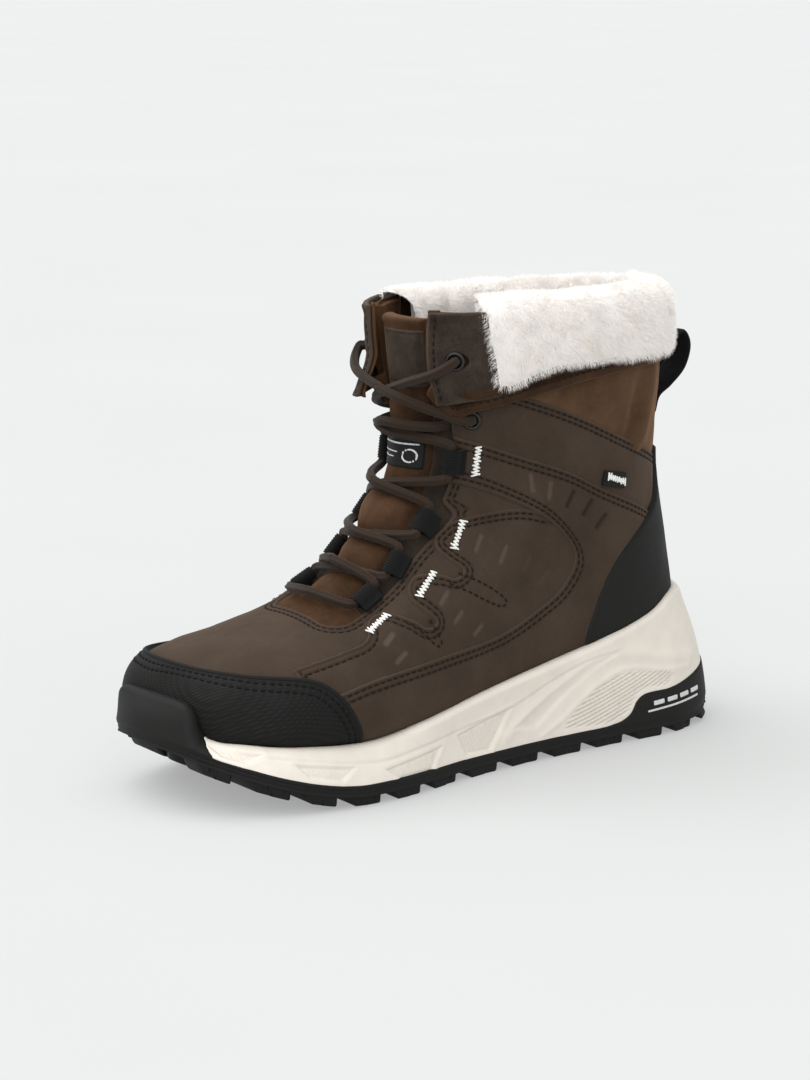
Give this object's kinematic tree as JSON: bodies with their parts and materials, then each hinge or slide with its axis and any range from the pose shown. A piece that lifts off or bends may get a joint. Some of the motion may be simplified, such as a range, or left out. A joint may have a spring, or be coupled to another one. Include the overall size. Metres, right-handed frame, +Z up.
{
  "type": "winter boot",
  "caption": "Insulated lace-up winter boot for the left foot, with a turned-down fur cuff, webbing lace loops, a swinging tongue, a lift-out footbed and a lugged sole.",
  "frame": {"origin": "centre of the bounding box on the ground plane", "axes": "+Y points to the heel (toe at -Y), +X to the lateral side of the left foot, +Z up"},
  "size_m": [0.108, 0.287, 0.1985],
  "materials": {
    "nubuck": "matte brown nubuck",
    "nubuck_dark": "matte dark brown nubuck",
    "suede": "napped suede",
    "toe_rubber": "woven-texture rubberised panel",
    "heel_rubber": "smooth matte rubber",
    "outsole_rubber": "moulded lugged rubber",
    "foam": "moulded foam",
    "fur": "short cream fur",
    "fleece": "short pile fleece",
    "felt": "felt",
    "insulation": "non-woven wadding",
    "padding": "foam padding",
    "label": "woven label",
    "webbing": "ribbed webbing",
    "lace": "round braid",
    "thread": "thick thread",
    "eyelet": "dark lacquer",
    "board": "fibre board",
    "steel": "plain"
  },
  "bodies": {
    "boot": {"vamp": "nubuck", "lateral_quarter": "nubuck", "lateral_collar_panel": "nubuck", "lateral_eyestay": "nubuck_dark", "medial_quarter": "nubuck", "medial_collar_panel": "nubuck", "medial_eyestay": "nubuck_dark", "shaft": "suede", "toe_cap": "toe_rubber", "heel_counter": "heel_rubber", "toe_puff": "board", "counter_stiffener": "board", "insole_board": "board", "insulation_bootie": "insulation", "fleece_lining": "fleece", "lateral_gusset": "suede", "lateral_band_eyelet": "eyelet", "lateral_cuff_eyelet": "eyelet", "lateral_lace_loop_1": "webbing", "lateral_lace_loop_2": "webbing", "lateral_lace_loop_3": "webbing", "lateral_lace_loop_4": "webbing", "medial_gusset": "suede", "medial_band_eyelet": "eyelet", "medial_cuff_eyelet": "eyelet", "medial_lace_loop_1": "webbing", "medial_lace_loop_2": "webbing", "medial_lace_loop_3": "webbing", "medial_lace_loop_4": "webbing", "cuff_fold": "suede", "fur_cuff": "fur", "lateral_cuff_facing": "nubuck_dark", "medial_cuff_facing": "nubuck_dark", "lateral_bartack_1": "thread", "lateral_bartack_2": "thread", "lateral_bartack_3": "thread", "lateral_bartack_4": "thread", "medial_bartack_1": "thread", "medial_bartack_2": "thread", "medial_bartack_3": "thread", "medial_bartack_4": "thread", "side_tag": "label", "outsole": "outsole_rubber", "midsole": "foam", "shank": "steel", "lace": "lace"},
    "tongue": {"tongue_face": "suede", "tongue_foam": "padding", "tongue_lining": "fleece", "tongue_label": "label", "tongue_patch": "nubuck_dark"},
    "pull_loop": {"pull_loop": "webbing"},
    "footbed": {"footbed": "felt"}
  },
  "joints": [
    {"name": "tongue_fold", "type": "hinge", "parent": "boot", "child": "tongue", "pos_m": [0, -0.058, 0.072], "axis": [1, 0, 0], "range_deg": [0, 20], "stiffness_Nm_per_rad": 0.03, "springref_deg": -17.19, "deforming": ["lace"]},
    {"name": "pull_loop_swing", "type": "hinge", "parent": "boot", "child": "pull_loop", "pos_m": [0, 0.119, 0.141], "axis": [-1, 0, 0], "range_deg": [0, 70], "stiffness_Nm_per_rad": 0.004, "springref_deg": -17.19},
    {"name": "footbed_lift", "type": "hinge", "parent": "boot", "child": "footbed", "pos_m": [0, -0.114, 0.031], "axis": [1, 0, 0], "range_deg": [0, 8]}
  ]
}
